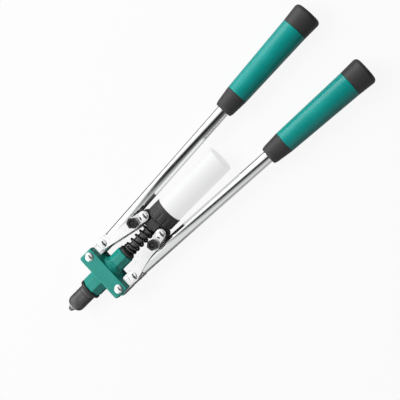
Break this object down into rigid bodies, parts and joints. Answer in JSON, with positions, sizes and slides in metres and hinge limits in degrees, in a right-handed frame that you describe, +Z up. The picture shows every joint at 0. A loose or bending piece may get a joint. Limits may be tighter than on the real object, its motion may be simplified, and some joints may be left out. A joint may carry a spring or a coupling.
{
  "type": "lever hand riveter",
  "caption": "Two-handed lever riveter: nosepiece and forked head, arms on head pins, links to a sprung slide, and a collector bottle.",
  "frame": {"origin": "middle of the tool's length and width, at the level it rests on when lying on its back", "axes": "+X from the nose to the handle ends, +Y to the left arm, +Z up out of the face with the knee nuts"},
  "size_m": [0.4302, 0.1208, 0.0353],
  "materials": {
    "green_paint": "satin green enamel over a casting",
    "teal_rubber": "smooth, slightly shiny grip rubber",
    "black_plastic": "fine-grained black moulding",
    "black_steel": "blackened steel",
    "dark_steel": "oiled dark steel",
    "chrome": "bright chrome plate",
    "tool_steel": "ground steel",
    "milky_plastic": "milky translucent moulding"
  },
  "bodies": {
    "head": {"head_casting": "green_paint", "nosepiece": "dark_steel", "nose_housing": "dark_steel", "lock_ring": "black_steel", "left_head_pin": "chrome", "right_head_pin": "chrome", "spring_seat": "black_steel", "recoil_spring": "black_steel"},
    "slide": {"yoke": "black_steel", "pull_tube": "dark_steel", "jaw_case": "tool_steel", "collector_cap": "black_plastic", "left_slide_pin": "chrome", "right_slide_pin": "chrome", "pusher_spring": "tool_steel"},
    "jaws": {"upper_jaw": "tool_steel", "lower_jaw": "tool_steel", "jaw_pusher": "tool_steel"},
    "bottle": {"collector_bottle": "milky_plastic"},
    "left_arm": {"left_arm_tube": "chrome", "left_arm_tongue": "chrome", "left_front_bracket": "chrome", "left_rear_bracket": "chrome", "left_bracket_rivet": "chrome", "left_knee_bolt": "black_steel", "left_knee_washer": "chrome", "left_knee_nut": "black_steel", "left_grip_collar": "black_plastic", "left_grip_sleeve": "teal_rubber", "left_grip_end": "black_plastic"},
    "right_arm": {"right_arm_tube": "chrome", "right_arm_tongue": "chrome", "right_front_bracket": "chrome", "right_rear_bracket": "chrome", "right_bracket_rivet": "chrome", "right_knee_bolt": "black_steel", "right_knee_washer": "chrome", "right_knee_nut": "black_steel", "right_grip_collar": "black_plastic", "right_grip_sleeve": "teal_rubber", "right_grip_end": "black_plastic"},
    "left_link": {"left_front_link": "chrome", "left_rear_link": "chrome"},
    "right_link": {"right_front_link": "chrome", "right_rear_link": "chrome"}
  },
  "joints": [
    {"name": "left_arm_pivot", "type": "hinge", "parent": "head", "child": "left_arm", "pos_m": [-0.15084, 0.0248, 0.0175], "axis": [0, 0, 1], "range_deg": [0, 9]},
    {"name": "right_arm_pivot", "type": "hinge", "parent": "head", "child": "right_arm", "pos_m": [-0.15084, -0.0248, 0.0175], "axis": [0, 0, -1], "range_deg": [0, 9]},
    {"name": "slide_travel", "type": "slide", "parent": "head", "child": "slide", "axis": [-1, 0, 0], "range_m": [0, 0.0056], "stiffness_N_per_m": 1500, "springref_m": -0.003, "deforming": ["recoil_spring"]},
    {"name": "jaw_travel", "type": "slide", "parent": "slide", "child": "jaws", "axis": [1, 0, 0], "range_m": [0, 0.0018], "stiffness_N_per_m": 600, "deforming": ["pusher_spring"]},
    {"name": "bottle_pull", "type": "slide", "parent": "slide", "child": "bottle", "axis": [1, 0, 0], "range_m": [0, 0.0125]},
    {"name": "left_link_pivot", "type": "hinge", "parent": "slide", "child": "left_link", "pos_m": [-0.07334, 0.014, 0.0175], "axis": [0, 0, -1], "range_deg": [0, 47.5]},
    {"name": "right_link_pivot", "type": "hinge", "parent": "slide", "child": "right_link", "pos_m": [-0.07334, -0.014, 0.0175], "axis": [0, 0, 1], "range_deg": [0, 47.5]}
  ],
  "couplings": [
    {"joint": "right_arm_pivot", "follows": "left_arm_pivot", "ratio": 1},
    {"joint": "slide_travel", "follows": "left_arm_pivot", "m_per_rad": 0.03452},
    {"joint": "left_link_pivot", "follows": "left_arm_pivot", "ratio": 5.21},
    {"joint": "right_link_pivot", "follows": "left_arm_pivot", "ratio": 5.21},
    {"joint": "jaw_travel", "follows": "left_arm_pivot", "m_per_rad": 0.0105}
  ]
}
